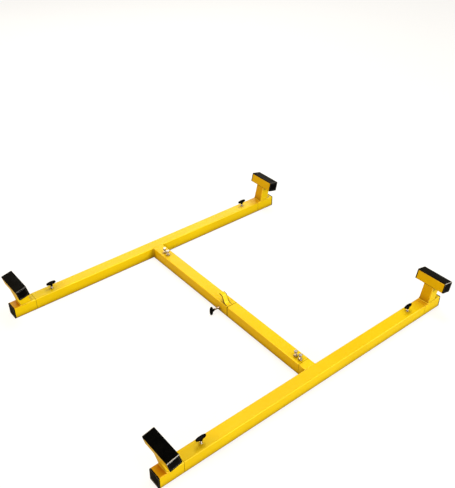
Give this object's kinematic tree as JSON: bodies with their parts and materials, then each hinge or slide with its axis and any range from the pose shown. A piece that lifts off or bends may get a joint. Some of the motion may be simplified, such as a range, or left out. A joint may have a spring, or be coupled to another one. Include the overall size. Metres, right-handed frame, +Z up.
{
  "type": "bed cargo bar",
  "caption": "Adjustable H-shaped truck bed cargo bar: square tube crossbars joined by a telescoping spine, with sliding padded T-heads and thumb screws.",
  "frame": {"origin": "middle of the frame on its underside", "axes": "+X to the right along the crossbars, +Y from the near crossbar to the far one along the spine, +Z up"},
  "size_m": [1.354, 1.126, 0.1612],
  "materials": {
    "yellow_powder_coat": "semi-gloss yellow powder coat on steel tube",
    "slide_powder_coat": "yellow powder coat with sliding wear",
    "zinc_hardware": "bright zinc plated steel",
    "pad_rubber": "black ribbed rubber",
    "cap_plastic": "black moulded plastic",
    "knob_plastic": "black moulded plastic, slightly glossy"
  },
  "bodies": {
    "near_frame": {"near_crossbar_tube": "yellow_powder_coat", "near_stub_collar": "yellow_powder_coat", "near_stub_tube": "slide_powder_coat", "near_spine_tube": "yellow_powder_coat", "spine_slide_tube": "slide_powder_coat", "near_set_bolts": "zinc_hardware", "near_jam_nuts": "zinc_hardware", "near_weld_nuts": "zinc_hardware", "near_left_bush": "yellow_powder_coat", "near_right_bush": "yellow_powder_coat"},
    "far_frame": {"far_crossbar_tube": "yellow_powder_coat", "far_stub_tube": "slide_powder_coat", "far_spine_tube": "yellow_powder_coat", "tie_hook": "yellow_powder_coat", "far_set_bolts": "zinc_hardware", "far_jam_nuts": "zinc_hardware", "far_weld_nuts": "zinc_hardware", "far_left_bush": "yellow_powder_coat", "far_right_bush": "yellow_powder_coat", "spine_bush": "yellow_powder_coat"},
    "near_left_end": {"near_left_slide_tube": "slide_powder_coat", "near_left_end_tube": "yellow_powder_coat", "near_left_post": "yellow_powder_coat", "near_left_head_tube": "yellow_powder_coat", "near_left_head_pad": "pad_rubber", "near_left_head_caps": "cap_plastic", "near_left_end_cap": "cap_plastic"},
    "near_right_end": {"near_right_slide_tube": "slide_powder_coat", "near_right_end_tube": "yellow_powder_coat", "near_right_post": "yellow_powder_coat", "near_right_head_tube": "yellow_powder_coat", "near_right_head_pad": "pad_rubber", "near_right_head_caps": "cap_plastic", "near_right_end_cap": "cap_plastic"},
    "far_left_end": {"far_left_slide_tube": "slide_powder_coat", "far_left_end_tube": "yellow_powder_coat", "far_left_post": "yellow_powder_coat", "far_left_head_tube": "yellow_powder_coat", "far_left_head_pad": "pad_rubber", "far_left_head_caps": "cap_plastic", "far_left_end_cap": "cap_plastic"},
    "far_right_end": {"far_right_slide_tube": "slide_powder_coat", "far_right_end_tube": "yellow_powder_coat", "far_right_post": "yellow_powder_coat", "far_right_head_tube": "yellow_powder_coat", "far_right_head_pad": "pad_rubber", "far_right_head_caps": "cap_plastic", "far_right_end_cap": "cap_plastic"},
    "near_left_clamp": {"near_left_screw": "zinc_hardware", "near_left_knob": "knob_plastic"},
    "near_right_clamp": {"near_right_screw": "zinc_hardware", "near_right_knob": "knob_plastic"},
    "far_left_clamp": {"far_left_screw": "zinc_hardware", "far_left_knob": "knob_plastic"},
    "far_right_clamp": {"far_right_screw": "zinc_hardware", "far_right_knob": "knob_plastic"},
    "spine_clamp": {"spine_screw": "zinc_hardware", "spine_knob": "knob_plastic"}
  },
  "joints": [
    {"name": "spine_extension", "type": "slide", "parent": "near_frame", "child": "far_frame", "axis": [0, 1, 0], "range_m": [0, 0.25]},
    {"name": "near_left_extension", "type": "slide", "parent": "near_frame", "child": "near_left_end", "axis": [-1, 0, 0], "range_m": [0, 0.15]},
    {"name": "near_right_extension", "type": "slide", "parent": "near_frame", "child": "near_right_end", "axis": [1, 0, 0], "range_m": [0, 0.15]},
    {"name": "far_left_extension", "type": "slide", "parent": "far_frame", "child": "far_left_end", "axis": [-1, 0, 0], "range_m": [0, 0.15]},
    {"name": "far_right_extension", "type": "slide", "parent": "far_frame", "child": "far_right_end", "axis": [1, 0, 0], "range_m": [0, 0.15]},
    {"name": "near_left_screw_turn", "type": "hinge", "parent": "near_frame", "child": "near_left_clamp", "pos_m": [-0.5, -0.4975, 0.074], "axis": [0, 0, 1], "range_deg": [0, 720]},
    {"name": "near_right_screw_turn", "type": "hinge", "parent": "near_frame", "child": "near_right_clamp", "pos_m": [0.5, -0.4975, 0.074], "axis": [0, 0, 1], "range_deg": [0, 720]},
    {"name": "far_left_screw_turn", "type": "hinge", "parent": "far_frame", "child": "far_left_clamp", "pos_m": [-0.5, 0.4975, 0.074], "axis": [0, 0, 1], "range_deg": [0, 720]},
    {"name": "far_right_screw_turn", "type": "hinge", "parent": "far_frame", "child": "far_right_clamp", "pos_m": [0.5, 0.4975, 0.074], "axis": [0, 0, 1], "range_deg": [0, 720]},
    {"name": "spine_screw_turn", "type": "hinge", "parent": "far_frame", "child": "spine_clamp", "pos_m": [-0.058, 0.008, 0.02], "axis": [-1, 0, 0], "range_deg": [0, 720]}
  ]
}
